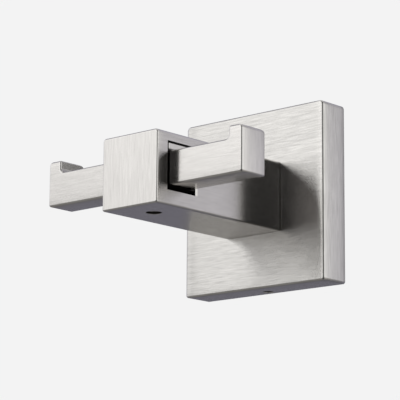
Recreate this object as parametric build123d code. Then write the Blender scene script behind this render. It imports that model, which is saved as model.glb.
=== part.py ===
from build123d import *
from math import radians, tan
import os

# Double robe hook: a square wall flange over a wall bracket, a square post that stands out
# of it, and a two-ended hook bar held in a slot near the post's front.
# Frame: the origin is the centre of the wall plane, +X to the right, -Y out of the wall, +Z up.
# All sizes are millimetres.

# Wall flange, a square cover that is hollow at the back
FLANGE_SIDE = 50.8
FLANGE_FRONT_WALL = 3.0
FLANGE_SIDE_WALL = 2.5
FLANGE_CAVITY_DEPTH = 6.8
FLANGE_CORNER_RADIUS = 1.3
FLANGE_FOOT_RADIUS = 0.7
FLANGE_CAVITY_RADIUS = 1.0
FLANGE_RIM_CHAMFER = 0.3

# Post, a square bar with a spigot that keys it into the flange
POST_SIDE = 20.0
POST_LENGTH = 50.6
POST_EDGE_RADIUS = 1.0
POST_FOOT_RADIUS = 0.65
POST_BACK_CHAMFER = 0.3
POST_FRONT_WALL = 4.05
POST_MOUTH_DEPTH = 0.2
POST_MOUTH_LENGTH = 0.65
SPIGOT_SIDE = 12.0
SPIGOT_CLEARANCE = 0.1

# Hook bar, one piece with an upturned tip at each end and a taller block in the post's slot
HOOK_LENGTH = 70.6
HOOK_BAR_HEIGHT = 9.3
HOOK_BAR_DEPTH = 9.4
HOOK_TIP_RISE = 3.4
HOOK_TIP_THICKNESS = 4.4
HOOK_TIP_RADIUS = 1.1
HOOK_TIP_INNER_RADIUS = 0.3
HOOK_HEEL_RADIUS = 0.65
HOOK_THROAT_RADIUS = 1.3
HOOK_BACK_TOP_RADIUS = 1.8
HOOK_BACK_FOOT_RADIUS = 1.1
BLOCK_BACK_STEP = 0.95
BLOCK_SIDE_CLEARANCE = 0.45
BLOCK_EDGE_RADIUS = 0.4
BLOCK_END_INSET = 0.15
BLOCK_LEAD_IN_LENGTH = 2.0
BLOCK_LEAD_IN_DROP = 0.35
SLOT_PASS_CLEARANCE = 0.6
UNDER_BAR_GAP = 1.25

# Soft edge that brushing leaves on the outer pieces, kept to a share of the corner beside it
EDGE_RADIUS = 0.52
EDGE_SHARE = 0.8

# Set screw under the post, which presses the hook bar up against the slot's ceiling
HOOK_SCREW_DIAMETER = 4.0
HOOK_SCREW_RECESS = 0.5
HOOK_SCREW_SOCKET = 2.0

# Set screw in the flange's bottom edge, which locks the flange on the bracket
LOCK_SCREW_DIAMETER = 3.0
LOCK_SCREW_RECESS = 0.4
LOCK_SCREW_SOCKET = 1.5
LOCK_SCREW_FROM_WALL = 3.0
LOCK_SCREW_POINT_DIAMETER = 1.5
LOCK_SCREW_ROOM = 3.8

# Both set screws
SCREW_CLEARANCE = 0.05
SCREW_END_CHAMFER = 0.4
SCREW_MOUTH_CHAMFER = 0.25
SOCKET_DEPTH = 2.0

# Screw and washer that hold the post to the flange from behind
POST_SCREW_DIAMETER = 6.0
POST_SCREW_LENGTH = 16.0
POST_SCREW_HEAD_DIAMETER = 10.5
POST_SCREW_HEAD_HEIGHT = 3.3
POST_SCREW_HEAD_RADIUS = 1.2
POST_SCREW_SOCKET = 4.0
POST_SCREW_RUN_OUT = 2.5
DRILL_POINT_ANGLE = 118.0
WASHER_DIAMETER = 19.0
WASHER_THICKNESS = 1.2
WASHER_BORE_CLEARANCE = 0.2

# Wall bracket, a flat plate that the flange hangs on
BRACKET_THICKNESS = 4.2
BRACKET_SIDE_CLEARANCE = 0.5
BRACKET_CORNER_RADIUS = 2.0
BRACKET_EDGE_CHAMFER = 0.4
BRACKET_HEAD_CLEARANCE = 2.25
WALL_SLOT_WIDTH = 5.0
WALL_SLOT_LENGTH = 9.0
WALL_SLOT_FROM_EDGE = 2.4

# Places worked out from the sizes above
FLANGE_DEPTH = FLANGE_CAVITY_DEPTH + FLANGE_FRONT_WALL
CAVITY_SIDE = FLANGE_SIDE - 2 * FLANGE_SIDE_WALL
POST_FRONT_Y = -(FLANGE_DEPTH + POST_LENGTH)
BLOCK_DEPTH = HOOK_BAR_DEPTH + BLOCK_BACK_STEP
SLOT_LENGTH = BLOCK_DEPTH + 2 * BLOCK_SIDE_CLEARANCE
SLOT_FRONT_Y = POST_FRONT_Y + POST_FRONT_WALL
SLOT_BACK_Y = SLOT_FRONT_Y + SLOT_LENGTH
BLOCK_FRONT_Y = SLOT_FRONT_Y + BLOCK_SIDE_CLEARANCE
HOOK_CENTRE_Y = BLOCK_FRONT_Y + HOOK_BAR_DEPTH / 2
HOOK_SCREW_Y = BLOCK_FRONT_Y + BLOCK_DEPTH / 2
BAR_BOTTOM_Z = -HOOK_BAR_HEIGHT / 2
BAR_TOP_Z = HOOK_BAR_HEIGHT / 2
TIP_TOP_Z = BAR_TOP_Z + HOOK_TIP_RISE
SLOT_FLOOR_Z = BAR_BOTTOM_Z - UNDER_BAR_GAP
SLOT_CEILING_Z = SLOT_FLOOR_Z + HOOK_BAR_HEIGHT + HOOK_TIP_RISE + SLOT_PASS_CLEARANCE
BRACKET_WIDTH = CAVITY_SIDE - 2 * BRACKET_SIDE_CLEARANCE
BRACKET_TOP_Z = CAVITY_SIDE / 2
BRACKET_BOTTOM_Z = LOCK_SCREW_ROOM - CAVITY_SIDE / 2
WALL_SLOT_SPACING = BRACKET_WIDTH - 2 * WALL_SLOT_FROM_EDGE - WALL_SLOT_LENGTH
SPIGOT_BACK_Y = -(FLANGE_CAVITY_DEPTH + SPIGOT_CLEARANCE)
SCREW_SEAT_Y = WASHER_THICKNESS - FLANGE_CAVITY_DEPTH

UP = (0, 0, 1)
OUT_OF_WALL = (0, -1, 0)
TO_WALL = (0, 1, 0)
TOLERANCE = 0.01


def slab(x_span, y_span, z_span):
    """A box between two planes on each axis."""
    size = [abs(high - low) for low, high in (x_span, y_span, z_span)]
    middle = [(low + high) / 2 for low, high in (x_span, y_span, z_span)]
    return Pos(*middle) * Box(*size)


def rod(diameter, length, start, direction):
    """A cylinder that starts at a point and runs along a direction."""
    along = Align.CENTER, Align.CENTER, Align.MIN
    return Plane(origin=start, z_dir=direction) * Cylinder(diameter / 2, length, align=along)


def cone(start_diameter, end_diameter, length, start, direction):
    """A cone that starts at a point and runs along a direction."""
    along = Align.CENTER, Align.CENTER, Align.MIN
    shape = Cone(start_diameter / 2, end_diameter / 2, length, align=along)
    return Plane(origin=start, z_dir=direction) * shape


def hex_socket(across_flats, depth, start, direction):
    """The hexagonal hollow that takes a key."""
    face = RegularPolygon(across_flats / 2, 6, major_radius=False)
    return Plane(origin=start, z_dir=direction) * extrude(face, depth)


def pull_out(face, y_start, y_end):
    """A face drawn in X and Z, carried from one distance off the wall to another."""
    return Plane.XZ.offset(-y_start) * extrude(face, y_start - y_end)


def square_bar(side, y_start, y_end, top_radius, foot_radius):
    """A square bar along Y, centred on the post's axis, with rounded long edges."""
    face = make_face(Rectangle(side, side).edges())
    for half, radius in ((side / 2, top_radius), (-side / 2, foot_radius)):
        face = fillet([v for v in face.vertices() if abs(v.Y - half) < TOLERANCE], radius)
    return pull_out(face, y_start, y_end)


def slot_lead(side):
    """The shallow slope that leads the hook bar into the slot at the back edge of one mouth."""
    x = side * POST_SIDE / 2
    wedge = make_face(Polyline(
        (x - side * POST_MOUTH_DEPTH, SLOT_BACK_Y),
        (x, SLOT_BACK_Y),
        (x, SLOT_BACK_Y + POST_MOUTH_LENGTH),
        close=True,
    ))
    return Pos(0, 0, SLOT_FLOOR_Z) * extrude(wedge, SLOT_CEILING_Z - SLOT_FLOOR_Z, dir=UP)


def frontmost(shape):
    """The flat face that lies furthest out of the wall."""
    return shape.faces().sort_by(Axis.Y)[0]


def make_flange():
    """The square cover, with its cavity, its key hole for the post and the lock screw's hole."""
    body = square_bar(FLANGE_SIDE, 0, -FLANGE_DEPTH, FLANGE_CORNER_RADIUS, FLANGE_FOOT_RADIUS)
    soft = min(EDGE_RADIUS, EDGE_SHARE * min(FLANGE_CORNER_RADIUS, FLANGE_FOOT_RADIUS))
    body = fillet(frontmost(body).edges(), soft)
    body = chamfer(body.faces().sort_by(Axis.Y)[-1].edges(), FLANGE_RIM_CHAMFER)
    body -= square_bar(
        CAVITY_SIDE, 0, -FLANGE_CAVITY_DEPTH, FLANGE_CAVITY_RADIUS, FLANGE_CAVITY_RADIUS
    )
    key_side = SPIGOT_SIDE + 2 * SPIGOT_CLEARANCE
    half = key_side / 2
    body -= slab((-half, half), (-FLANGE_DEPTH, -FLANGE_CAVITY_DEPTH), (-half, half))
    hole_start = (0, -LOCK_SCREW_FROM_WALL, -FLANGE_SIDE / 2)
    hole = LOCK_SCREW_DIAMETER + 2 * SCREW_CLEARANCE
    body -= rod(hole, FLANGE_SIDE_WALL, hole_start, UP)
    body -= cone(hole + 2 * SCREW_MOUTH_CHAMFER, hole, SCREW_MOUTH_CHAMFER, hole_start, UP)
    return body


def make_post():
    """The square post with its spigot, its slot for the hook bar and its two tapped holes."""
    body = square_bar(POST_SIDE, -FLANGE_DEPTH, POST_FRONT_Y, POST_EDGE_RADIUS, POST_FOOT_RADIUS)
    soft = min(EDGE_RADIUS, EDGE_SHARE * min(POST_EDGE_RADIUS, POST_FOOT_RADIUS))
    body = fillet(frontmost(body).edges(), soft)
    body = chamfer(body.faces().sort_by(Axis.Y)[-1].edges(), POST_BACK_CHAMFER)
    half = SPIGOT_SIDE / 2
    body += slab((-half, half), (-FLANGE_DEPTH, SPIGOT_BACK_Y), (-half, half))

    # The slot for the hook bar, with a shallow slope at the back edge of each of its two mouths
    side = POST_SIDE / 2
    body -= slab((-side, side), (SLOT_FRONT_Y, SLOT_BACK_Y), (SLOT_FLOOR_Z, SLOT_CEILING_Z))
    body -= [slot_lead(end) for end in (-1, 1)]

    # The tapped hole under the slot, for the hook's set screw
    hole_start = (0, HOOK_SCREW_Y, -side)
    hole = HOOK_SCREW_DIAMETER + 2 * SCREW_CLEARANCE
    body -= rod(hole, side + SLOT_FLOOR_Z, hole_start, UP)
    body -= cone(hole + 2 * SCREW_MOUTH_CHAMFER, hole, SCREW_MOUTH_CHAMFER, hole_start, UP)

    # The tapped hole in the spigot, with the drill's cone at its end
    bore = POST_SCREW_DIAMETER + 2 * SCREW_CLEARANCE
    bore_end_y = SCREW_SEAT_Y - POST_SCREW_LENGTH - POST_SCREW_RUN_OUT
    body -= rod(bore, SPIGOT_BACK_Y - bore_end_y, (0, SPIGOT_BACK_Y, 0), OUT_OF_WALL)
    point_length = bore / 2 / tan(radians(DRILL_POINT_ANGLE / 2))
    return body - cone(bore, 0, point_length, (0, bore_end_y, 0), OUT_OF_WALL)


def hook_section():
    """The hook's outline seen from its end, rounder along its two back edges, over its length."""
    front_y, back_y = HOOK_CENTRE_Y - HOOK_BAR_DEPTH / 2, HOOK_CENTRE_Y + HOOK_BAR_DEPTH / 2
    corners = ((front_y, BAR_BOTTOM_Z), (back_y, BAR_BOTTOM_Z), (back_y, TIP_TOP_Z), (front_y, TIP_TOP_Z))
    face = make_face(Polyline(*corners, close=True))
    for height, radius in ((TIP_TOP_Z, HOOK_BACK_TOP_RADIUS), (BAR_BOTTOM_Z, HOOK_BACK_FOOT_RADIUS)):
        back = [v for v in face.vertices() if abs(v.X - back_y) + abs(v.Y - height) < TOLERANCE]
        face = fillet(back, radius)
    return Plane.YZ.offset(-HOOK_LENGTH / 2) * extrude(face, HOOK_LENGTH)


def make_hook_bar():
    """The two-ended hook: an outline with rounded corners, its edges softened, and its block."""
    end = HOOK_LENGTH / 2
    inner = end - HOOK_TIP_THICKNESS
    outline = Polyline(
        (-end, BAR_BOTTOM_Z),
        (end, BAR_BOTTOM_Z),
        (end, TIP_TOP_Z),
        (inner, TIP_TOP_Z),
        (inner, BAR_TOP_Z),
        (-inner, BAR_TOP_Z),
        (-inner, TIP_TOP_Z),
        (-end, TIP_TOP_Z),
        close=True,
    )
    face = make_face(outline)
    for x, z, radius in (
        (end, TIP_TOP_Z, HOOK_TIP_RADIUS),
        (inner, TIP_TOP_Z, HOOK_TIP_INNER_RADIUS),
        (inner, BAR_TOP_Z, HOOK_THROAT_RADIUS),
        (end, BAR_BOTTOM_Z, HOOK_HEEL_RADIUS),
    ):
        corners = [v for v in face.vertices() if abs(abs(v.X) - x) + abs(v.Y - z) < TOLERANCE]
        face = fillet(corners, radius)
    body = pull_out(face, HOOK_CENTRE_Y + HOOK_BAR_DEPTH / 2, HOOK_CENTRE_Y - HOOK_BAR_DEPTH / 2)
    sides = body.faces().sort_by(Axis.Y)
    soft = min(EDGE_RADIUS, EDGE_SHARE * min(HOOK_THROAT_RADIUS, HOOK_HEEL_RADIUS))
    body = fillet(sides[0].edges() + sides[-1].edges(), soft)
    body &= hook_section()

    # The block: it touches the slot's ceiling along its middle and stands off it at both ends
    half = POST_SIDE / 2 - BLOCK_END_INSET
    y_span = (BLOCK_FRONT_Y, BLOCK_FRONT_Y + BLOCK_DEPTH)
    low_top = SLOT_CEILING_Z - BLOCK_LEAD_IN_DROP
    block = slab((-half, half), y_span, (BAR_BOTTOM_Z, low_top))
    body += fillet(block.edges().filter_by(Axis.Z), BLOCK_EDGE_RADIUS)
    middle = half - BLOCK_LEAD_IN_LENGTH
    body += slab((-middle, middle), y_span, (low_top, SLOT_CEILING_Z))
    return body


def make_set_screw(diameter, length, socket, start, point_diameter):
    """A headless screw that runs up from its start, with a hex socket below and a point above."""
    x, y, z = start
    tip_length = (diameter - point_diameter) / 2
    body = rod(diameter, length - tip_length, start, UP)
    rim = body.edges().filter_by(GeomType.CIRCLE).sort_by(Axis.Z)[0]
    body = chamfer(rim, SCREW_END_CHAMFER)
    tip_start = (x, y, z + length - tip_length)
    body += cone(diameter, point_diameter, tip_length, tip_start, UP)
    return body - hex_socket(socket, min(SOCKET_DEPTH, length / 2), start, UP)


def make_hook_screw():
    """The set screw under the post, from just inside its hole to the hook bar's underside."""
    start_z = HOOK_SCREW_RECESS - POST_SIDE / 2
    point = HOOK_SCREW_DIAMETER - 2 * SCREW_END_CHAMFER
    start = (0, HOOK_SCREW_Y, start_z)
    return make_set_screw(HOOK_SCREW_DIAMETER, BAR_BOTTOM_Z - start_z, HOOK_SCREW_SOCKET, start, point)


def make_lock_screw():
    """The set screw in the flange's bottom edge, from just inside its hole to the bracket."""
    start_z = LOCK_SCREW_RECESS - FLANGE_SIDE / 2
    start = (0, -LOCK_SCREW_FROM_WALL, start_z)
    length = BRACKET_BOTTOM_Z - start_z
    return make_set_screw(LOCK_SCREW_DIAMETER, length, LOCK_SCREW_SOCKET, start, LOCK_SCREW_POINT_DIAMETER)


def make_post_screw():
    """The button-head screw that pulls the post against the flange."""
    seat = (0, SCREW_SEAT_Y, 0)
    head_back = (0, SCREW_SEAT_Y + POST_SCREW_HEAD_HEIGHT, 0)
    head = rod(POST_SCREW_HEAD_DIAMETER, POST_SCREW_HEAD_HEIGHT, seat, TO_WALL)
    rim = head.edges().filter_by(GeomType.CIRCLE).sort_by(Axis.Y)[-1]
    head = fillet(rim, POST_SCREW_HEAD_RADIUS)
    shank = rod(POST_SCREW_DIAMETER, POST_SCREW_LENGTH, seat, OUT_OF_WALL)
    end = shank.edges().filter_by(GeomType.CIRCLE).sort_by(Axis.Y)[0]
    shank = chamfer(end, SCREW_END_CHAMFER)
    return head + shank - hex_socket(POST_SCREW_SOCKET, SOCKET_DEPTH, head_back, OUT_OF_WALL)


def make_washer():
    """The flat washer between the post screw's head and the flange's inner face."""
    start = (0, -FLANGE_CAVITY_DEPTH, 0)
    bore = POST_SCREW_DIAMETER + 2 * WASHER_BORE_CLEARANCE
    disc = rod(WASHER_DIAMETER, WASHER_THICKNESS, start, TO_WALL)
    return disc - rod(bore, WASHER_THICKNESS, start, TO_WALL)


def make_bracket():
    """The wall plate: two slots for wall screws and a clearance hole for the post screw's head."""
    height = BRACKET_TOP_Z - BRACKET_BOTTOM_Z
    middle_z = (BRACKET_TOP_Z + BRACKET_BOTTOM_Z) / 2
    face = Pos(0, middle_z) * RectangleRounded(BRACKET_WIDTH, height, BRACKET_CORNER_RADIUS)
    for side in (-1, 1):
        face -= Pos(side * WALL_SLOT_SPACING / 2, 0) * SlotOverall(WALL_SLOT_LENGTH, WALL_SLOT_WIDTH)
    face -= Circle(POST_SCREW_HEAD_DIAMETER / 2 + BRACKET_HEAD_CLEARANCE)
    body = pull_out(face, 0, -BRACKET_THICKNESS)
    return chamfer(frontmost(body).outer_wire().edges(), BRACKET_EDGE_CHAMFER)


PIECES = {
    "wall_flange": make_flange,
    "post": make_post,
    "hook_bar": make_hook_bar,
    "hook_set_screw": make_hook_screw,
    "flange_set_screw": make_lock_screw,
    "post_screw": make_post_screw,
    "post_washer": make_washer,
    "wall_bracket": make_bracket,
}

os.makedirs("parts", exist_ok=True)
for name, make in PIECES.items():
    export_step(make(), f"parts/{name}.step")
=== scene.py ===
"""The looks of a square double robe hook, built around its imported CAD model.

Everything is in metres in the CAD's own frame: +X runs along the hook bar, -Y out of the wall
and +Z up, with the origin in the middle of the wall plane.
"""

import logging
import math
from dataclasses import dataclass, field
from enum import Enum
from typing import Dict, List, Optional, Sequence, Tuple, Union

import bpy
import numpy as np
from mathutils import Matrix, Vector


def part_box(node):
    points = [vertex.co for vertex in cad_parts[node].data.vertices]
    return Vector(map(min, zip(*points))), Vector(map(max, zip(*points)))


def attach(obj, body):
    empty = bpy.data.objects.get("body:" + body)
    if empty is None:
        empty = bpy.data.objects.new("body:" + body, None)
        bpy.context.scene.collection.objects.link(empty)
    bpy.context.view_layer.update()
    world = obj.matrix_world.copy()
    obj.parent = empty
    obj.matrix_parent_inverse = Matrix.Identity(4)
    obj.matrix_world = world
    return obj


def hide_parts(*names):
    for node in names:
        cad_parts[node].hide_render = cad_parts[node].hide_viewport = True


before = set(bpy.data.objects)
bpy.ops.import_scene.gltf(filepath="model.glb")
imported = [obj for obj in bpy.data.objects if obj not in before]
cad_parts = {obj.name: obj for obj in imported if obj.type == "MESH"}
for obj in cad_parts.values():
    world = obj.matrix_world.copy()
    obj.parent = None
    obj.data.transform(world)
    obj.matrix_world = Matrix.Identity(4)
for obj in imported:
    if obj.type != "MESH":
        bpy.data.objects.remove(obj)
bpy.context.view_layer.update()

LOG = logging.getLogger("robe_hook")
MM = 0.001

Colour = Tuple[float, float, float, float]
Triple = Tuple[float, float, float]
Number = Union["Wire", float, int]
Mesh = Tuple[np.ndarray, List[List[int]]]


# Shader graphs


class Wire:
    """An output socket of a node, on which arithmetic adds Math nodes."""

    def __init__(self, graph: "Graph", socket: Optional[bpy.types.NodeSocket]) -> None:
        """Keeps the socket and the graph that it is in.

        Args:
            graph: the graph that new Math nodes go into.
            socket: the output socket that this value comes from, or None for an output node.
        """
        self.graph = graph
        self.socket = socket

    def __add__(self, other: Number) -> "Wire":
        """self + other."""
        return self.graph.math("ADD", self, other)

    def __radd__(self, other: Number) -> "Wire":
        """other + self."""
        return self.graph.math("ADD", other, self)

    def __sub__(self, other: Number) -> "Wire":
        """self - other."""
        return self.graph.math("SUBTRACT", self, other)

    def __rsub__(self, other: Number) -> "Wire":
        """other - self."""
        return self.graph.math("SUBTRACT", other, self)

    def __mul__(self, other: Number) -> "Wire":
        """self * other."""
        return self.graph.math("MULTIPLY", self, other)

    def __rmul__(self, other: Number) -> "Wire":
        """other * self."""
        return self.graph.math("MULTIPLY", other, self)

    def __truediv__(self, other: Number) -> "Wire":
        """self / other."""
        return self.graph.math("DIVIDE", self, other)

    def __rtruediv__(self, other: Number) -> "Wire":
        """other / self."""
        return self.graph.math("DIVIDE", other, self)

    def __neg__(self) -> "Wire":
        """-self."""
        return self.graph.math("MULTIPLY", self, -1.0)

    def __abs__(self) -> "Wire":
        """The value without its sign."""
        return self.graph.math("ABSOLUTE", self)

    def __gt__(self, other: Number) -> "Wire":
        """1 where self is above other, and 0 elsewhere."""
        return self.graph.math("GREATER_THAN", self, other)


class Graph:
    """A node tree that is filled through one method."""

    def __init__(self, tree: bpy.types.NodeTree) -> None:
        """Empties the tree.

        Args:
            tree: the node tree of a material or of the world.
        """
        self.tree = tree
        tree.nodes.clear()

    def node(
        self,
        kind: str,
        settings: Optional[Dict[str, object]] = None,
        sockets: Optional[Dict[object, object]] = None,
        output: Union[int, str] = 0,
    ) -> Wire:
        """Adds a node, sets it up and fills its sockets.

        Args:
            kind: the node's type.
            settings: the node's own properties; "stops" fills a ramp with (place, colour) pairs.
            sockets: values or wires for the inputs, by name or number.
            output: the output that is wanted, by name or number.

        Returns:
            That output.
        """
        made = self.tree.nodes.new(kind)
        for name, value in (settings or {}).items():
            if name == "stops":
                self._fill_ramp(made.color_ramp, value)
            else:
                setattr(made, name, value)
        for name, value in (sockets or {}).items():
            if isinstance(value, Wire):
                self.tree.links.new(value.socket, made.inputs[name])
            else:
                made.inputs[name].default_value = value
        return Wire(self, made.outputs[output] if made.outputs else None)

    @staticmethod
    def _fill_ramp(ramp: bpy.types.ColorRamp, stops: Sequence[Tuple[float, Colour]]) -> None:
        """Gives a ramp its stops.

        Args:
            ramp: the ramp of a Color Ramp node.
            stops: the place, from 0 to 1, and the colour of each stop.
        """
        while len(ramp.elements) < len(stops):
            ramp.elements.new(1.0)
        for element, (place, colour) in zip(ramp.elements, stops):
            element.position = place
            element.color = colour

    def math(self, operation: str, *values: Number) -> Wire:
        """One Math node, with its inputs in order."""
        return self.node("ShaderNodeMath", {"operation": operation}, dict(enumerate(values)))

    def split(self, vector: Wire) -> Tuple[Wire, Wire, Wire]:
        """The X, Y and Z of a vector."""
        first = self.node("ShaderNodeSeparateXYZ", sockets={0: vector})
        outputs = first.socket.node.outputs
        return first, Wire(self, outputs[1]), Wire(self, outputs[2])

    def vector(self, operation: str, *values: object, output: str = "Vector") -> Wire:
        """One Vector Math node, with its inputs in order."""
        sockets = dict(enumerate(values))
        return self.node("ShaderNodeVectorMath", {"operation": operation}, sockets, output)

    def scaled(self, vector: object, factor: Number) -> Wire:
        """A vector times a number."""
        settings = {"operation": "SCALE"}
        return self.node("ShaderNodeVectorMath", settings, {0: vector, "Scale": factor})

    def mixed_vector(self, factor: Number, first: object, second: object) -> Wire:
        """The first vector where factor is 0, and the second where it is 1."""
        sockets = {0: factor, 4: first, 5: second}
        return self.node("ShaderNodeMix", {"data_type": "VECTOR"}, sockets, 1)

    def mixed_colour(self, factor: Number, first: object, second: object) -> Wire:
        """The first colour where factor is 0, and the second where it is 1."""
        sockets = {0: factor, 6: first, 7: second}
        return self.node("ShaderNodeMix", {"data_type": "RGBA"}, sockets, 2)

    def smooth_step(self, value: Number, low: float, high: float) -> Wire:
        """Rises smoothly from 0 at low to 1 at high."""
        settings = {"interpolation_type": "SMOOTHSTEP"}
        return self.node("ShaderNodeMapRange", settings, {0: value, 1: low, 2: high})

    def noise(self, place: Wire, scale: float, detail: float, roughness: float) -> Wire:
        """Perlin noise about 0, mostly between -0.3 and 0.3."""
        sockets = {"Vector": place, "Scale": scale, "Detail": detail, "Roughness": roughness}
        return self.node("ShaderNodeTexNoise", {"normalize": True}, sockets) - 0.5


class Tint(Enum):
    """The faint colour of a light."""

    NEUTRAL = (1.0, 1.0, 1.0)
    WARM = (1.03, 1.0, 0.97)
    COOL = (1.0, 0.985, 1.05)
    VIOLET = (1.0, 0.975, 1.15)


def light_colour(level: float, tint: Tint = Tint.NEUTRAL) -> Colour:
    """A light's brightness and tint as one colour."""
    return (*(level * share for share in tint.value), 1.0)


# Finishes


class Line(Enum):
    """The direction that brush lines run in."""

    ALONG_BAR = (1.0, 0.0, 0.0)
    OUT_OF_WALL = (0.0, 1.0, 0.0)
    UPRIGHT = (0.0, 0.0, 1.0)


@dataclass(frozen=True)
class BrushPlan:
    """Which way the brush lines run on the faces that look along each axis."""

    ends: Line
    fronts: Line
    flats: Line

    def across(self) -> Tuple[Triple, Triple, Triple]:
        """The direction in each kind of face that lies square to its brush lines.

        Returns:
            One unit vector each for the faces that look along X, Y and Z.
        """
        normals = np.eye(3)
        lines = (self.ends, self.fronts, self.flats)
        return tuple(tuple(1.0 - normals[i] - np.array(lines[i].value)) for i in range(3))


@dataclass(frozen=True)
class Box:
    """A box in the frame, from its lowest corner to its highest, in metres."""

    low: Triple
    high: Triple
    fade: Triple = (0.01 * MM, 0.01 * MM, 0.01 * MM)

    def holds(self, graph: Graph, place: Wire) -> Wire:
        """1 inside the box, falling to 0 over the fade outside it.

        Args:
            graph: the graph to add to.
            place: the point to test.

        Returns:
            The mask.
        """
        inside: Number = 1.0
        for axis, low, high, fade in zip(graph.split(place), self.low, self.high, self.fade):
            from_middle = abs(axis - (low + high) / 2)
            reach = (high - low) / 2
            inside = (1.0 - graph.smooth_step(from_middle, reach, reach + fade)) * inside
        return inside


NOWHERE = Box((0.0, 0.0, 0.0), (0.0, 0.0, 0.0))


@dataclass(frozen=True)
class LineNoise:
    """The make-up of noise that is drawn out along the brush lines.

    In a metre there are "fine" lines, counted square to them, and along it a line starts anew
    "long" times. "detail" is how many finer layers of noise there are, and "roughness" how
    strong they are.
    """

    fine: float
    long: float
    detail: float
    roughness: float = 0.6


HAIRS = LineNoise(fine=4000.0, long=190.0, detail=1.0)
STREAKS = LineNoise(fine=1300.0, long=45.0, detail=2.0)
CLOUDS_IN_A_METRE = 55.0
OFF_THE_GRID = (0.5, 0.7, 0.3)  # turns noise away from its own grid, whose planes would show
FACING = 0.7  # a face looks along an axis where its normal has more than this along it


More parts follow.
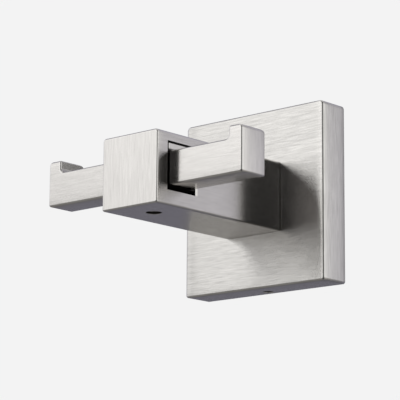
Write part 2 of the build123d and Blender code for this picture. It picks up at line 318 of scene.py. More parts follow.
@dataclass(frozen=True)
class BrushedNickel:
    """Satin nickel, brushed along each face in fine straight lines.

    The brush lines are grooves far finer than a pixel, which spread a reflection square to
    themselves and keep it sharp along their length. Fine lighter and darker lines, and wider
    faint streaks, lie between them. The polishing wheel has rolled the faces off a little
    towards the edges of the box "outside", though not in the box "unpolished". Faces that
    look back at the middle of the hook are painted darker by "inward_tone", as painted shade.
    The metal is painted dark in the boxes "inside", in slots, bores and crevices, as painted
    shade. "lean" tips every face a little towards the wall.
    """

    plan: BrushPlan
    outside: Box
    inside: Sequence[Box] = ()
    unpolished: Box = NOWHERE
    colour: Colour = (0.745, 0.725, 0.700, 1.0)
    # the colour of the painted shade in the boxes "inside"
    dark: Colour = (0.035, 0.032, 0.030, 1.0)
    roughness: float = 0.135
    streak_roughness: float = 0.06
    cloud_roughness: float = 0.04
    hidden_roughness: float = 0.3
    grooves: float = 9000.0
    groove_tilt: float = 0.145
    groove_reach: float = 1.0
    groove_wander: float = 2.0
    streak_tilt: float = 0.018
    streak_tone: float = 0.10
    hair_tone: float = 0.38
    cloud_tone: float = 0.05
    # painted shade: how much darker the faces that look back at the middle of the hook are
    inward_tone: float = 0.8
    lean: float = 0.0
    roll: Triple = (0.0, 0.0, 0.0)
    roll_width: float = 1.3 * MM

    def _by_face(self, graph: Graph, normal: Wire, values: Sequence[Triple]) -> Wire:
        """Picks a vector by the way that a face looks.

        Args:
            graph: the graph to add to.
            normal: the surface's normal.
            values: the vectors for faces that look along X, Y and Z.

        Returns:
            The vector for the face.
        """
        x, _, z = graph.split(normal)
        picked = graph.mixed_vector(abs(x) > FACING, values[1], values[0])
        return graph.mixed_vector(abs(z) > FACING, picked, values[2])

    def _lines(self, graph: Graph, place: Wire, normal: Wire, kind: LineNoise) -> Wire:
        """Noise that is drawn out along the brush lines.

        Args:
            graph: the graph to add to.
            place: the point on the surface.
            normal: the surface's normal, which decides which way the lines run.
            kind: how fine and long the lines are.

        Returns:
            The noise, about 0.
        """
        stretch = kind.fine - kind.long
        scales = [tuple(np.array(a) * stretch + kind.long) for a in self.plan.across()]
        stretched = graph.vector("MULTIPLY", place, self._by_face(graph, normal, scales))
        askew = {"Vector": stretched, "Rotation": OFF_THE_GRID}
        turned = graph.node("ShaderNodeVectorRotate", {"rotation_type": "EULER_XYZ"}, askew)
        return graph.noise(turned, 1.0, kind.detail, kind.roughness)

    def _groove_tilt(self, graph: Graph, place: Wire, across: Wire, wander: Wire) -> Wire:
        """The slope of the grooves, as a wave across the brush lines.

        The share of a groove that a point has passed gives a triangle wave from -1 to 1. The
        slope is its tangent, so most of a groove is shallow and its flanks are steep.

        Args:
            graph: the graph to add to.
            place: the point on the surface.
            across: the direction square to the lines in this face.
            wander: noise that makes the grooves wander a little.

        Returns:
            The slope.
        """
        distance = graph.vector("DOT_PRODUCT", place, across, output="Value")
        passed = distance * self.grooves + wander * self.groove_wander
        wave = abs(graph.math("FRACT", passed) * 2.0 - 1.0) * 2.0 - 1.0
        return graph.math("TANGENT", wave * self.groove_reach) * self.groove_tilt

    @staticmethod
    def _outward(graph: Graph, place: Wire, normal: Wire) -> Wire:
        """1 where a face looks away from the frame's origin, and 0 where it looks back at it."""
        return graph.vector("DOT_PRODUCT", place, normal, output="Value") > 0.0

    def _rolled(self, graph: Graph, place: Wire, normal: Wire) -> Wire:
        """How far the wheel has turned the surface towards its edges.

        In each direction the turn dies off from the edge as e to the minus distance over the
        roll's width.

        Args:
            graph: the graph to add to.
            place: the point on the surface.
            normal: the surface's normal.

        Returns:
            The vector to add to the normal.
        """
        turns = []
        points, facings = graph.split(place), graph.split(normal)
        for axis, (low, high) in enumerate(zip(self.outside.low, self.outside.high)):
            near_high = graph.math("EXPONENT", (points[axis] - high) / self.roll_width)
            near_low = graph.math("EXPONENT", (low - points[axis]) / self.roll_width)
            turn = (near_high - near_low) * self.roll[axis]
            turns.append(turn * (1.0 - abs(facings[axis])))
        turned = graph.node("ShaderNodeCombineXYZ", sockets=dict(enumerate(turns)))
        reached = 1.0 - self.unpolished.holds(graph, place)
        return graph.scaled(turned, self._outward(graph, place, normal) * reached)

    def material(self, name: str) -> bpy.types.Material:
        """Makes the material.

        Args:
            name: the material's name.

        Returns:
            The material.
        """
        made = bpy.data.materials.new(name)
        made.use_nodes = True
        graph = Graph(made.node_tree)
        place = graph.node("ShaderNodeTexCoord", output="Object")
        normal = graph.node("ShaderNodeNewGeometry", output="Normal")
        across = self._by_face(graph, normal, self.plan.across())
        outward = self._outward(graph, place, normal)
        hairs = self._lines(graph, place, normal, HAIRS)
        streaks = self._lines(graph, place, normal, STREAKS)
        clouds = graph.noise(place, CLOUDS_IN_A_METRE, detail=2.0, roughness=0.5)

        tilt = self._groove_tilt(graph, place, across, streaks) + streaks * self.streak_tilt
        leaned = graph.vector("ADD", normal, graph.scaled(across, tilt))
        leaned = graph.vector("ADD", leaned, self._rolled(graph, place, normal))
        leaned = graph.vector("ADD", leaned, (0.0, self.lean, 0.0))
        tone = 1.0 + hairs * self.hair_tone + streaks * self.streak_tone + clouds * self.cloud_tone
        # Painted shade: faces that look back at the middle of the hook are darkened by
        # inward_tone.
        tone = tone * (self.inward_tone + outward * (1.0 - self.inward_tone))
        # Painted shade: the boxes "inside" mix the colour towards the dark one. Where boxes
        # overlap the sum passes 1: the mix stops at 1, and the metal is rougher.
        painted_shade: Number = 0.0
        for box in self.inside:
            painted_shade = box.holds(graph, place) + painted_shade
        bright = graph.scaled(self.colour[:3], tone)
        rough = self.roughness + streaks * self.streak_roughness + clouds * self.cloud_roughness
        shader = graph.node(
            "ShaderNodeBsdfPrincipled",
            sockets={
                "Base Color": graph.mixed_colour(painted_shade, bright, self.dark),
                "Metallic": 1.0,
                "Roughness": rough + painted_shade * self.hidden_roughness,
                "Normal": graph.vector("NORMALIZE", leaned),
            },
        )
        graph.node("ShaderNodeOutputMaterial", sockets={"Surface": shader})
        return made


@dataclass(frozen=True)
class PlainMetal:
    """A dull metal with a mottled tone and small pits, for parts that come out of a bin."""

    colour: Colour
    roughness: float
    grain: float
    mottle: float
    pits_across_patch: float = 8.0
    pit_depth: float = 0.05 * MM
    pit_strength: float = 0.25
    pit_roughness: float = 0.15
    patch_roughness: float = 0.1

    def material(self, name: str) -> bpy.types.Material:
        """Makes the material.

        Args:
            name: the material's name.

        Returns:
            The material.
        """
        made = bpy.data.materials.new(name)
        made.use_nodes = True
        graph = Graph(made.node_tree)
        place = graph.node("ShaderNodeTexCoord", output="Object")
        pits = graph.noise(place, self.grain, detail=4.0, roughness=0.65)
        coarse = self.grain / self.pits_across_patch
        patches = graph.noise(place, coarse, detail=2.0, roughness=0.5)
        depth = {"Strength": self.pit_strength, "Distance": self.pit_depth, "Height": pits}
        tone = 1.0 + pits * self.mottle + patches * self.mottle
        rough = self.roughness + pits * self.pit_roughness + patches * self.patch_roughness
        shader = graph.node(
            "ShaderNodeBsdfPrincipled",
            sockets={
                "Base Color": graph.scaled(self.colour[:3], tone),
                "Metallic": 1.0,
                "Roughness": rough,
                "Normal": graph.node("ShaderNodeBump", sockets=depth),
            },
        )
        graph.node("ShaderNodeOutputMaterial", sockets={"Surface": shader})
        return made


SCREW_STEEL = PlainMetal(colour=(0.33, 0.32, 0.31, 1.0), roughness=0.36, grain=3200.0, mottle=0.35)
ZINC_PLATE = PlainMetal(colour=(0.60, 0.61, 0.63, 1.0), roughness=0.38, grain=1500.0, mottle=0.22)


# Surfaces worked out on a grid

COLUMNS = 96
SHARP_ANGLE = math.radians(30)
Rows = Tuple[np.ndarray, np.ndarray]


class Stand(Enum):
    """How a turned piece stands: the matrix that takes its own axes to the frame's."""

    UPRIGHT = ((1, 0, 0), (0, 1, 0), (0, 0, 1))
    TO_WALL = ((1, 0, 0), (0, 0, 1), (0, -1, 0))


def circle_rows(radii: Sequence[float], heights: Sequence[float]) -> Rows:
    """Rows of round rings: the radius of row i is radii[i] at every column.

    Args:
        radii: each ring's radius.
        heights: each ring's height.

    Returns:
        The radius and the height at every row and column.
    """
    ones = np.ones(COLUMNS)
    return np.outer(radii, ones), np.outer(heights, ones)


def hex_rows(across_flats: Sequence[float], heights: Sequence[float]) -> Rows:
    """Rows of six-sided rings.

    The radius at an angle is half the distance across the flats, divided by the cosine of the
    angle from the middle of the nearest flat.

    Args:
        across_flats: each ring's distance across its flats.
        heights: each ring's height.

    Returns:
        The radius and the height at every row and column.
    """
    sixth = math.pi / 3
    angle = np.arange(COLUMNS) * 2 * math.pi / COLUMNS
    reach = 0.5 / np.cos((angle + sixth / 2) % sixth - sixth / 2)
    return np.outer(across_flats, reach), np.outer(heights, np.ones(COLUMNS))


ROWS_IN_A_TURN = 12
THREAD_DEPTH = 0.54  # in pitches
HALF_CREST = 0.14  # the crest's share of half a wave, and the root's
FLANK = 1 - 2 * HALF_CREST


def thread_rows(
    diameter: float, pitch: float, low: float, high: float, end_low: float, end_high: float
) -> Rows:
    """Rows of a screw thread that climbs by one pitch a turn.

    With the phase as height over pitch less the share of a turn, the radius falls from the
    crest to the root and back as a straight-sided wave of the phase, with a flat crest and
    root. At both ends a 45 degree cone cuts it off.

    Args:
        diameter: across the crests.
        pitch: from one crest to the next.
        low: the height of the first row.
        high: the height of the last row.
        end_low: the radius that the lower cone starts from.
        end_high: the radius that the upper cone starts from.

    Returns:
        The radius and the height at every row and column.
    """
    rows = int(math.ceil((high - low) / pitch * ROWS_IN_A_TURN)) + 1
    height = np.outer(np.linspace(low, high, rows), np.ones(COLUMNS))
    turn = np.arange(COLUMNS) / COLUMNS
    wave = np.abs(2 * ((height / pitch - turn) % 1.0) - 1)
    radius = diameter / 2 - THREAD_DEPTH * pitch * np.clip((wave - HALF_CREST) / FLANK, 0, 1)
    radius = np.minimum(radius, end_low + (height - low))
    return np.minimum(radius, end_high + (high - height)), height


def stacked(*parts: Rows) -> Rows:
    """Several groups of rows as one, in order."""
    return np.vstack([p[0] for p in parts]), np.vstack([p[1] for p in parts])


def outward(points: np.ndarray, faces: List[List[int]]) -> List[List[int]]:
    """Turns a closed mesh's faces outward.

    The volume is a sixth of the sum, over the triangles, of the triple product of the corners.
    Where it is below zero, every face is turned round.

    Args:
        points: the vertices.
        faces: the faces, as lists of vertex numbers.

    Returns:
        The faces, all of them looking outward.
    """
    fans = np.array([(f[0], f[i], f[i + 1]) for f in faces for i in range(1, len(f) - 1)])
    a, b, c = (points[fans[:, i]] for i in range(3))
    volume = np.einsum("ij,ij->i", a, np.cross(b, c)).sum()
    return faces if volume > 0 else [f[::-1] for f in faces]


def make_piece(
    name: str, solid: Mesh, material: bpy.types.Material, stands_for: str
) -> bpy.types.Object:
    """Makes an object that stands for a CAD node.

    Args:
        name: the piece's name.
        solid: its vertices in the frame and its faces.
        material: its finish.
        stands_for: the CAD node.

    Returns:
        The object, with its edges over 30 degrees kept sharp.
    """
    points, faces = solid
    mesh = bpy.data.meshes.new(name)
    mesh.from_pydata(points.tolist(), [], outward(points, faces))
    mesh.validate()
    mesh.shade_smooth()
    mesh.set_sharp_from_angle(angle=SHARP_ANGLE)
    mesh.materials.append(material)
    piece = bpy.data.objects.new(name, mesh)
    bpy.context.scene.collection.objects.link(piece)
    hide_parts(stands_for)
    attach(piece, "root")
    LOG.info("built %s, %d faces", name, len(mesh.polygons))
    return piece


def grid_quads(rows: int, wraps: bool) -> List[List[int]]:
    """The faces between neighbouring rows of a grid whose columns close round.

    Args:
        rows: how many rows the grid has.
        wraps: whether the last row joins the first.

    Returns:
        The quads, as lists of vertex numbers.
    """
    row = np.arange(rows if wraps else rows - 1)[:, None]
    column = np.arange(COLUMNS)[None, :]
    above, beside = (row + 1) % rows, (column + 1) % COLUMNS
    corners = (
        row * COLUMNS + column,
        row * COLUMNS + beside,
        above * COLUMNS + beside,
        above * COLUMNS + column,
    )
    return np.stack(corners, axis=-1).reshape(-1, 4).tolist()


def turned_points(rows: Rows, stand: Stand, origin: Triple) -> np.ndarray:
    """Where a turned piece's rows lie in the frame.

    The point of row i and column j lies radius[i, j] from the axis at j / COLUMNS of a turn,
    and height[i, j] along it.

    Args:
        rows: the radius and the height at every row and column.
        stand: how the piece stands.
        origin: where the axis starts, in the frame.

    Returns:
        One point a row and column.
    """
    radius, height = rows
    angle = np.arange(COLUMNS) * 2 * math.pi / COLUMNS
    local = np.stack([radius * np.cos(angle), radius * np.sin(angle), height], axis=-1)
    return local.reshape(-1, 3) @ np.array(stand.value, float).T + np.array(origin)


def turned_solid(
    rows: Rows, poles: Tuple[float, float], stand: Stand, origin: Triple
) -> Mesh:
    """A solid of rings that closes at a pole at each end.

    Args:
        rows: the radius and the height at every row and column.
        poles: the height of the first pole and of the last.
        stand: how the piece stands.
        origin: where the axis starts, in the frame.

    Returns:
        The vertices and the faces.
    """
    count = len(rows[0])
    points = turned_points(rows, stand, origin)
    ends = np.array([(0.0, 0.0, h) for h in poles]) @ np.array(stand.value, float).T
    points = np.vstack([points, ends + np.array(origin)])
    column = np.arange(COLUMNS)
    beside = (column + 1) % COLUMNS
    first, last = count * COLUMNS, count * COLUMNS + 1
    top = (count - 1) * COLUMNS
    caps = np.stack([np.full(COLUMNS, first), beside, column], -1).tolist()
    caps += np.stack([np.full(COLUMNS, last), top + column, top + beside], -1).tolist()
    return points, grid_quads(count, False) + caps


def turned_ring(rows: Rows, stand: Stand, origin: Triple) -> Mesh:
    """A ring whose last row joins its first.

    Args:
        rows: the radius and the height at every row and column, once round the section.
        stand: how the piece stands.
        origin: where the axis starts, in the frame.

    Returns:
        The vertices and the faces.
    """
    return turned_points(rows, stand, origin), grid_quads(len(rows[0]), True)


def dress(node: str, material: bpy.types.Material) -> bpy.types.Object:
    """Gives a CAD node its material.

    Args:
        node: the CAD node.
        material: its finish.

    Returns:
        The node's object.
    """
    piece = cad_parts[node]
    for slot in piece.material_slots:
        slot.material = material
    LOG.info("dressed %s with %s", node, material.name)
    return piece


# Sub-assemblies

# Painted shade: the slot through the post and the tapped hole below it, up to just past their
# walls, are painted dark.
SLOT_SHADE = Box((-9.78 * MM, -56.38 * MM, -5.95 * MM), (9.78 * MM, -45.07 * MM, 7.45 * MM))
SCREW_BORE_SHADE = Box((-2.26 * MM, -52.98 * MM, -9.9 * MM), (2.26 * MM, -48.47 * MM, -5.9 * MM))
# The hook's block in the slot, left unrolled, and painted shade: a dark line along its top by the
# slot's ceiling, and a dark band round the bar's root at its sides.
BLOCK = Box((-10.1 * MM, -56.0 * MM, -4.75 * MM), (10.1 * MM, -45.4 * MM, 7.5 * MM))
BLOCK_TOP_SHADE = Box((-9.9 * MM, -56.0 * MM, 6.8 * MM), (9.9 * MM, -45.4 * MM, 7.5 * MM))
BAR_ROOT_SHADE = Box(
    (-10.3 * MM, -56.0 * MM, -4.75 * MM), (10.3 * MM, -45.5 * MM, 5.0 * MM), (0.6 * MM,) * 3
)
# Painted shade: a dark line on the post's sides where they meet the flange, darkening over the
# fade towards it: the fade alone reaches them.
POST_FOOT_SHADE = Box(
    (-10.1 * MM, -9.3 * MM, -9.8 * MM),
    (10.1 * MM, -8.0 * MM, 9.8 * MM),
    (0.05 * MM, 1.9 * MM, 0.05 * MM),
)
END_INSET = 0.15 * MM  # how far a thread's end cone lies inside the CAD's end chamfer
CROWN_STEPS = 9  # rows of the rounded edge of the screw's head
CORNER_STEPS = 6  # rows of each rounded corner of the washer


@dataclass
class SetScrew:
    """A headless socket screw that runs up from a hole in the underside."""

    node: str
    diameter: float
    pitch: float
    socket: float
    end_radius: float
    socket_depth: float = 2.0 * MM
    socket_point: float = 0.3 * MM
    socket_flare: float = 1.08
    flare_depth: float = 0.12 * MM
    chamfer: float = 0.4 * MM
    thread_inset: float = 0.02 * MM
    point_share: float = 0.9

    def axis(self) -> Vector:
        """The lowest point on the screw's axis."""
        low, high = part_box(self.node)
        return Vector(((low.x + high.x) / 2, (low.y + high.y) / 2, low.z))

    def build(self) -> bpy.types.Object:
        """Makes the threaded screw where the CAD's plain one is.

        Returns:
            The piece.
        """
        low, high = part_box(self.node)
        length = high.z - low.z
        inner = self.diameter / 2 - self.chamfer - END_INSET
        depth = min(self.socket_depth, length / 2)
        first, last = self.thread_inset, length - self.thread_inset
        mouth = self.socket * self.socket_flare
        rows = stacked(
            hex_rows([self.socket, self.socket, mouth], [depth, self.flare_depth, 0.0]),
            circle_rows([inner], [0.0]),
            thread_rows(self.diameter, self.pitch, first, last, inner, self.end_radius),
            circle_rows([self.end_radius * self.point_share], [length]),
        )
        poles = (depth + self.socket_point, length)
        solid = turned_solid(rows, poles, Stand.UPRIGHT, tuple(self.axis()))
        steel = SCREW_STEEL.material(f"{self.node}_steel")
        return make_piece(f"{self.node}_threaded", solid, steel, self.node)


@dataclass
class PostScrew:
    """The button-head screw that pulls the post against the flange."""

    node: str = "post_screw"
    diameter: float = 6.0 * MM
    pitch: float = 1.0 * MM
    head_diameter: float = 10.5 * MM
    head_height: float = 3.3 * MM
    head_radius: float = 1.2 * MM
    head_chamfer: float = 0.12 * MM
    neck: float = 0.4 * MM
    socket: float = 4.0 * MM
    socket_depth: float = 2.0 * MM
    socket_point: float = 0.4 * MM
    socket_flare: float = 0.3 * MM
    flare_depth: float = 0.15 * MM
    chamfer: float = 0.4 * MM

    def build(self) -> bpy.types.Object:
        """Makes the screw where the CAD's plain one is.

        Returns:
            The piece.
        """
        low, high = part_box(self.node)
        seat_y = high.y - self.head_height
        top, head = self.head_height, self.head_diameter / 2
        shank = self.diameter / 2
        turn = np.linspace(0, math.pi / 2, CROWN_STEPS)
        crown_radii = head - self.head_radius + self.head_radius * np.sin(turn)
        crown_heights = top - self.head_radius + self.head_radius * np.cos(turn)
        floor = top - self.socket_depth
        mouth = self.socket + self.socket_flare
        end, tip = low.y - seat_y, shank - self.chamfer - END_INSET
        thread = thread_rows(self.diameter, self.pitch, end, -self.neck, tip, shank)
        rows = stacked(
            hex_rows([self.socket, self.socket, mouth], [floor, top - self.flare_depth, top]),
            circle_rows(crown_radii, crown_heights),
            circle_rows([head, head - self.head_chamfer, shank], [self.head_chamfer, 0.0, 0.0]),
            (thread[0][::-1], thread[1][::-1]),
        )
        poles = (floor - self.socket_point, end)
        solid = turned_solid(rows, poles, Stand.TO_WALL, (0.0, seat_y, 0.0))
        steel = SCREW_STEEL.material(f"{self.node}_steel")
        return make_piece(f"{self.node}_threaded", solid, steel, self.node)


@dataclass
class Washer:
    """The flat washer under the post screw's head, with edges rounded by punching."""

    node: str = "post_washer"
    bore: float = 6.4 * MM
    edge_radius: float = 0.2 * MM

    def build(self) -> bpy.types.Object:
        """Makes the washer where the CAD's is.

        The section is a rectangle whose corners are quarter circles, carried once round.

        Returns:
            The piece.
        """
        low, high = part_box(self.node)
        outer, thickness, r = (high.x - low.x) / 2, high.y - low.y, self.edge_radius
        turn = np.linspace(0, math.pi / 2, CORNER_STEPS)
        radii, heights = [], []
        corners = (
            (outer - r, thickness - r, 0.0),
            (self.bore / 2 + r, thickness - r, math.pi / 2),
            (self.bore / 2 + r, r, math.pi),
            (outer - r, r, 3 * math.pi / 2),
        )
        for radius, height, start in corners:
            radii.extend(radius + r * np.cos(start + turn))
            heights.extend(height + r * np.sin(start + turn))
        ring = turned_ring(circle_rows(radii, heights), Stand.TO_WALL, (0.0, low.y, 0.0))
        zinc = ZINC_PLATE.material(f"{self.node}_zinc")
        return make_piece(f"{self.node}_punched", ring, zinc, self.node)


def box_of(node: str) -> Box:
    """The box of a CAD node."""
    low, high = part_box(node)
    return Box(tuple(low), tuple(high))


@dataclass
class FlangeAssembly:
    """The square cover with the set screw in its bottom edge."""

    lock_screw: SetScrew = field(
        default_factory=lambda: SetScrew(
            "flange_set_screw",
            diameter=3.0 * MM,
            pitch=0.5 * MM,
            socket=1.5 * MM,
            end_radius=0.75 * MM,
        )
    )
    plan: BrushPlan = BrushPlan(ends=Line.UPRIGHT, fronts=Line.ALONG_BAR, flats=Line.ALONG_BAR)
    colour: Colour = (0.695, 0.680, 0.655, 1.0)
    front_wall: float = 3.0 * MM
    side_wall: float = 2.5 * MM
    mouth_depth: float = 0.28 * MM
    bore_margin: float = 0.07 * MM
    cavity_margin: float = 0.05 * MM
    beyond: float = 3.0 * MM

    def build(self) -> None:
        """Dresses the flange and builds its screw."""
        outside = box_of("wall_flange")
        # Painted shade: the cavity behind the front wall and the set screw's bore are painted
        # dark.
        reach = outside.high[0] - self.side_wall + self.cavity_margin
        floor = outside.low[1] + self.front_wall - self.cavity_margin
        cavity = Box((-reach, floor, -reach), (reach, outside.high[1] + self.beyond, reach))
        x, y, z = self.lock_screw.axis()
        hole = self.lock_screw.diameter / 2 + self.bore_margin
        bore = Box(
            (x - hole, y - hole, outside.low[2] + self.mouth_depth),
            (x + hole, y + hole, z + self.beyond),
        )
        finish = BrushedNickel(
            self.plan,
            outside,
            (cavity, bore),
            colour=self.colour,
            hair_tone=0.68,
            roll=(0.40, 0.45, 0.10),
        )
        dress("wall_flange", finish.material("flange_brushed_nickel"))
        self.lock_screw.build()


@dataclass
class PostAssembly:
    """The square post with the screw and washer that hold it."""

    plan: BrushPlan = BrushPlan(ends=Line.OUT_OF_WALL, fronts=Line.UPRIGHT, flats=Line.OUT_OF_WALL)
    unrolled_back: float = 20.0 * MM

    def build(self) -> None:
        """Dresses the post and builds its screw and washer.

        The wheel rolls off the front end alone, so the box for it runs on into the wall.
        """
        post = box_of("post")
        finish = BrushedNickel(
            self.plan,
            Box(post.low, (post.high[0], self.unrolled_back, post.high[2])),
            # painted shade in the slot, in the tapped hole and along the post's foot at the flange
            (SLOT_SHADE, SCREW_BORE_SHADE, POST_FOOT_SHADE),
            groove_tilt=0.17,
            lean=0.009,
            roll=(0.0, 0.14, 0.0),
            roll_width=1.6 * MM,
        )
        dress("post", finish.material("post_brushed_nickel"))
        PostScrew().build()
        Washer().build()


@dataclass
class HookAssembly:
    """The two-ended hook bar with its set screw."""

    set_screw: SetScrew = field(
        default_factory=lambda: SetScrew(
            "hook_set_screw",
            diameter=4.0 * MM,
            pitch=0.7 * MM,
            socket=2.0 * MM,
            end_radius=1.6 * MM,
        )
    )
    plan: BrushPlan = BrushPlan(ends=Line.UPRIGHT, fronts=Line.ALONG_BAR, flats=Line.ALONG_BAR)

    def build(self) -> None:
        """Dresses the hook bar and builds its screw."""
        finish = BrushedNickel(
            self.plan,
            box_of("hook_bar"),
            # painted shade in the slot, along the block's top and round the bar's root
            (SLOT_SHADE, BAR_ROOT_SHADE, BLOCK_TOP_SHADE),
            BLOCK,
            roll=(0.0, 0.45, 0.10),
            roll_width=1.8 * MM,
        )
        dress("hook_bar", finish.material("hook_brushed_nickel"))
        self.set_screw.build()


@dataclass
class WallPlate:
    """The plate on the wall that the flange hangs on."""

    node: str = "wall_bracket"

    def build(self) -> None:
        """Dresses the plate."""
        dress(self.node, ZINC_PLATE.material("bracket_zinc"))


# The studio


@dataclass(frozen=True)
class Camera:
    """The camera, from a fit of the photograph's edges to the CAD's."""

    azimuth: float = 41.869
    elevation: float = -11.982
    roll: float = 0.448
    distance: float = 543.597 * MM
    lens: float = 176.95
    sensor: float = 36.0
    near: float = 0.01
    far: float = 20.0
    target: Triple = (-2.037 * MM, -30.0 * MM, -2.839 * MM)

    def build(self) -> None:
        """Makes the camera and sets it as the scene's."""
        a, e, roll = (math.radians(v) for v in (self.azimuth, self.elevation, self.roll))
        back = Vector((math.sin(a) * math.cos(e), -math.cos(a) * math.cos(e), math.sin(e)))
        right = Vector((math.cos(a), math.sin(a), 0.0))
        up = back.cross(right)
        across = right * math.cos(roll) + up * math.sin(roll)
        above = up * math.cos(roll) - right * math.sin(roll)
        data = bpy.data.cameras.new("photo_camera")
        data.lens = self.lens
        data.sensor_width = self.sensor
        data.clip_start, data.clip_end = self.near, self.far
        camera = bpy.data.objects.new("photo_camera", data)
        bpy.context.scene.collection.objects.link(camera)
        turn = Matrix((across, above, back)).transposed().to_4x4()
        camera.matrix_world = Matrix.Translation(Vector(self.target) + back * self.distance) @ turn
        bpy.context.scene.camera = camera


Level = Tuple[float, float, Tint]


@dataclass(frozen=True)
class Ring:
    """One height of the tent: where it starts, where it is full, and its brightness all round.

    The heights are elevations in degrees. Each level is (azimuth in degrees, brightness,
    tint), where azimuth 0 looks out of the wall and 90 along +X.
    """

    starts: float
    full: float
    levels: Sequence[Level]


def scaled_levels(levels: Sequence[Level], share: float) -> Tuple[Level, ...]:
    """The levels with each brightness times the share."""
    return tuple((azimuth, level * share, tint) for azimuth, level, tint in levels)


# The left side, from behind the wall across the wide soft panel, and the share of this
# brightness that it has at the horizon and above it
LEFT_PANEL: Sequence[Level] = (
    (-180, 0.34, Tint.COOL),
    (-138, 0.26, Tint.VIOLET),
    (-120, 0.38, Tint.VIOLET),
    (-100, 0.5, Tint.VIOLET),
    (-84, 0.66, Tint.COOL),
    (-72, 1.0, Tint.NEUTRAL),
    (-60, 1.08, Tint.NEUTRAL),
    (-50, 1.0, Tint.NEUTRAL),
    (-46, 0.98, Tint.NEUTRAL),
    (-44, 1.07, Tint.NEUTRAL),
    (-42, 1.32, Tint.NEUTRAL),
    (-40, 1.2, Tint.NEUTRAL),
    (-37, 1.14, Tint.NEUTRAL),
    (-28, 1.25, Tint.NEUTRAL),
    (-18, 1.35, Tint.NEUTRAL),
    (-8, 1.25, Tint.NEUTRAL),
)
SHARE_AT_HORIZON = 0.82
SHARE_ABOVE = 1.12

# From the front across the dark opening to the smaller panel on the right
FRONT_OPENING: Sequence[Level] = (
    (6, 1.02, Tint.NEUTRAL),
    (23, 0.55, Tint.NEUTRAL),
    (32, 0.012, Tint.NEUTRAL),
    (50, 0.012, Tint.NEUTRAL),
    (60, 0.55, Tint.NEUTRAL),
    (76, 0.92, Tint.NEUTRAL),
    (112, 1.0, Tint.NEUTRAL),
)


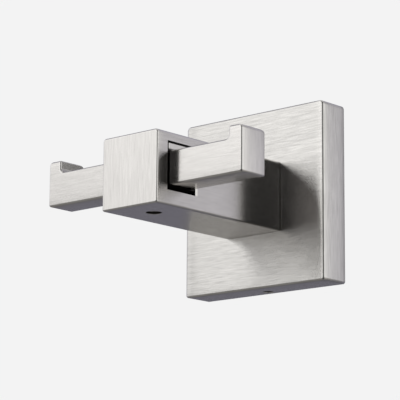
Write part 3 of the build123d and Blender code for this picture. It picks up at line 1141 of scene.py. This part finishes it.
@dataclass(frozen=True)
class Tent:
    """The soft light all round: a light tent whose brightness depends on the direction.

    A wide soft panel stands to the left of the front and a smaller one to the right. The
    tent's opening, where the camera stands, is dark.
    """

    backdrop: float = 0.896
    rings: Sequence[Ring] = (
        Ring(
            -90.0,
            -90.0,
            (
                (-180, 0.13, Tint.VIOLET),
                (-148, 0.12, Tint.VIOLET),
                (-130, 0.12, Tint.WARM),
                (-100, 0.2, Tint.WARM),
                (-60, 0.22, Tint.WARM),
                (-20, 0.2, Tint.WARM),
                (20, 0.08, Tint.NEUTRAL),
                (42, 0.03, Tint.NEUTRAL),
                (64, 0.1, Tint.NEUTRAL),
                (90, 0.2, Tint.WARM),
                (138, 0.27, Tint.WARM),
                (158, 0.18, Tint.NEUTRAL),
                (180, 0.13, Tint.VIOLET),
            ),
        ),
        Ring(
            -36.0,
            -24.0,
            (
                (-180, 0.2, Tint.VIOLET),
                (-138, 0.162, Tint.VIOLET),
                (-100, 0.2, Tint.VIOLET),
                (-60, 0.26, Tint.NEUTRAL),
                (-42, 0.212, Tint.WARM),
                (-10, 0.24, Tint.WARM),
                (20, 0.1, Tint.NEUTRAL),
                (42, 0.015, Tint.NEUTRAL),
                (64, 0.15, Tint.NEUTRAL),
                (90, 0.6, Tint.WARM),
                (112, 0.6, Tint.WARM),
                (128, 0.42, Tint.WARM),
                (138, 0.29, Tint.WARM),
                (160, 0.2, Tint.VIOLET),
                (180, 0.2, Tint.VIOLET),
            ),
        ),
        Ring(
            -9.5,
            3.0,
            (
                *scaled_levels(LEFT_PANEL, SHARE_AT_HORIZON),
                *FRONT_OPENING,
                (126, 0.82, Tint.NEUTRAL),
                (138, 0.56, Tint.COOL),
                (145, 0.7, Tint.COOL),
                (150, 0.65, Tint.COOL),
                (165, 0.48, Tint.COOL),
                (180, 0.28, Tint.COOL),
            ),
        ),
        Ring(
            9.0,
            22.0,
            (
                *scaled_levels(LEFT_PANEL, SHARE_ABOVE),
                *FRONT_OPENING,
                (126, 0.72, Tint.NEUTRAL),
                (138, 0.45, Tint.COOL),
                (145, 0.62, Tint.COOL),
                (150, 0.6, Tint.COOL),
                (165, 0.48, Tint.COOL),
                (180, 0.38, Tint.COOL),
            ),
        ),
        Ring(
            26.0,
            42.0,
            (
                (-180, 0.5, Tint.VIOLET),
                (-160, 0.3, Tint.VIOLET),
                (-138, 0.24, Tint.VIOLET),
                (-75, 0.28, Tint.VIOLET),
                (-52, 0.75, Tint.NEUTRAL),
                (-42, 0.9, Tint.NEUTRAL),
                (-20, 0.95, Tint.NEUTRAL),
                (0, 0.6, Tint.NEUTRAL),
                (24, 0.08, Tint.NEUTRAL),
                (34, 0.03, Tint.NEUTRAL),
                (50, 0.03, Tint.NEUTRAL),
                (60, 0.08, Tint.NEUTRAL),
                (90, 0.6, Tint.NEUTRAL),
                (120, 0.5, Tint.NEUTRAL),
                (140, 0.36, Tint.COOL),
                (160, 0.55, Tint.COOL),
                (180, 0.5, Tint.VIOLET),
            ),
        ),
        Ring(54.0, 72.0, ((-180, 0.65, Tint.NEUTRAL), (180, 0.65, Tint.NEUTRAL))),
    )

    @staticmethod
    def _round(graph: Graph, turn: Wire, ring: Ring) -> Wire:
        """The brightness all round at one height.

        Args:
            graph: the world's graph.
            turn: the azimuth, from 0 to 1.
            ring: the height.

        Returns:
            The ring's colour.
        """
        stops = [(azimuth / 360 + 0.5, light_colour(*light)) for azimuth, *light in ring.levels]
        return graph.node("ShaderNodeValToRGB", {"stops": stops}, {0: turn})

    def build(self) -> None:
        """Makes the world that lights the object and the plain backdrop behind it."""
        world = bpy.data.worlds.new("tent")
        bpy.context.scene.world = world
        world.use_nodes = True
        world.cycles.sampling_method = "NONE"
        graph = Graph(world.node_tree)
        direction = graph.node("ShaderNodeTexCoord", output="Generated")
        x, y, z = graph.split(direction)
        turn = graph.math("ARCTAN2", x, -y) / (2 * math.pi) + 0.5
        light = self._round(graph, turn, self.rings[0])
        for ring in self.rings[1:]:
            low, high = (math.sin(math.radians(v)) for v in (ring.starts, ring.full))
            higher = self._round(graph, turn, ring)
            light = graph.mixed_colour(graph.smooth_step(z, low, high), light, higher)
        seen = graph.node("ShaderNodeLightPath", output="Is Camera Ray")
        soft = graph.node("ShaderNodeLightPath", output="Is Diffuse Ray")
        colour = graph.mixed_colour(seen + soft, light, light_colour(self.backdrop))
        background = graph.node("ShaderNodeBackground", sockets={"Color": colour})
        graph.node("ShaderNodeOutputWorld", sockets={"Surface": background})


@dataclass(frozen=True)
class Floor:
    """The pale floor below the object."""

    height: float = -0.30
    side: float = 6.0
    cells: int = 8
    tone: float = 0.97
    mottle: float = 0.01

    def build(self) -> None:
        """Makes the floor as a grid and stages it."""
        width = self.cells + 1
        steps = np.linspace(-self.side / 2, self.side / 2, width)
        x, y = np.meshgrid(steps, steps)
        points = np.stack([x, y, np.full_like(x, self.height)], -1).reshape(-1, 3)
        row, column = np.divmod(np.arange(self.cells**2), self.cells)
        corner = row * width + column
        faces = np.stack([corner, corner + 1, corner + width + 1, corner + width], -1)
        mesh = bpy.data.meshes.new("floor")
        mesh.from_pydata(points.tolist(), [], faces.tolist())
        floor = bpy.data.objects.new("floor", mesh)
        bpy.context.scene.collection.objects.link(floor)
        floor.visible_glossy = False

        material = bpy.data.materials.new("floor_paper")
        material.use_nodes = True
        graph = Graph(material.node_tree)
        place = graph.node("ShaderNodeTexCoord", output="Object")
        patches = graph.noise(place, scale=3.0, detail=2.0, roughness=0.5)
        tone = self.tone + patches * self.mottle
        shader = graph.node(
            "ShaderNodeBsdfPrincipled",
            sockets={
                "Base Color": graph.scaled((1.0, 1.0, 1.0), tone),
                "Roughness": 1.0,
                "Specular IOR Level": 0.0,
            },
        )
        graph.node("ShaderNodeOutputMaterial", sockets={"Surface": shader})
        mesh.materials.append(material)


def main() -> None:
    """Builds the hook, piece by piece, and the studio round it."""
    logging.basicConfig(level=logging.INFO, format="%(name)s: %(message)s")
    for part in (FlangeAssembly(), PostAssembly(), HookAssembly(), WallPlate()):
        part.build()
    Floor().build()
    Tent().build()
    Camera().build()
    bpy.context.scene.view_settings.view_transform = "Standard"
    bpy.context.scene.cycles.use_denoising = True
    bpy.context.scene.cycles.denoising_input_passes = "RGB"
    bpy.context.scene.render.dither_intensity = 0.0


if __name__ == "__main__":
    main()
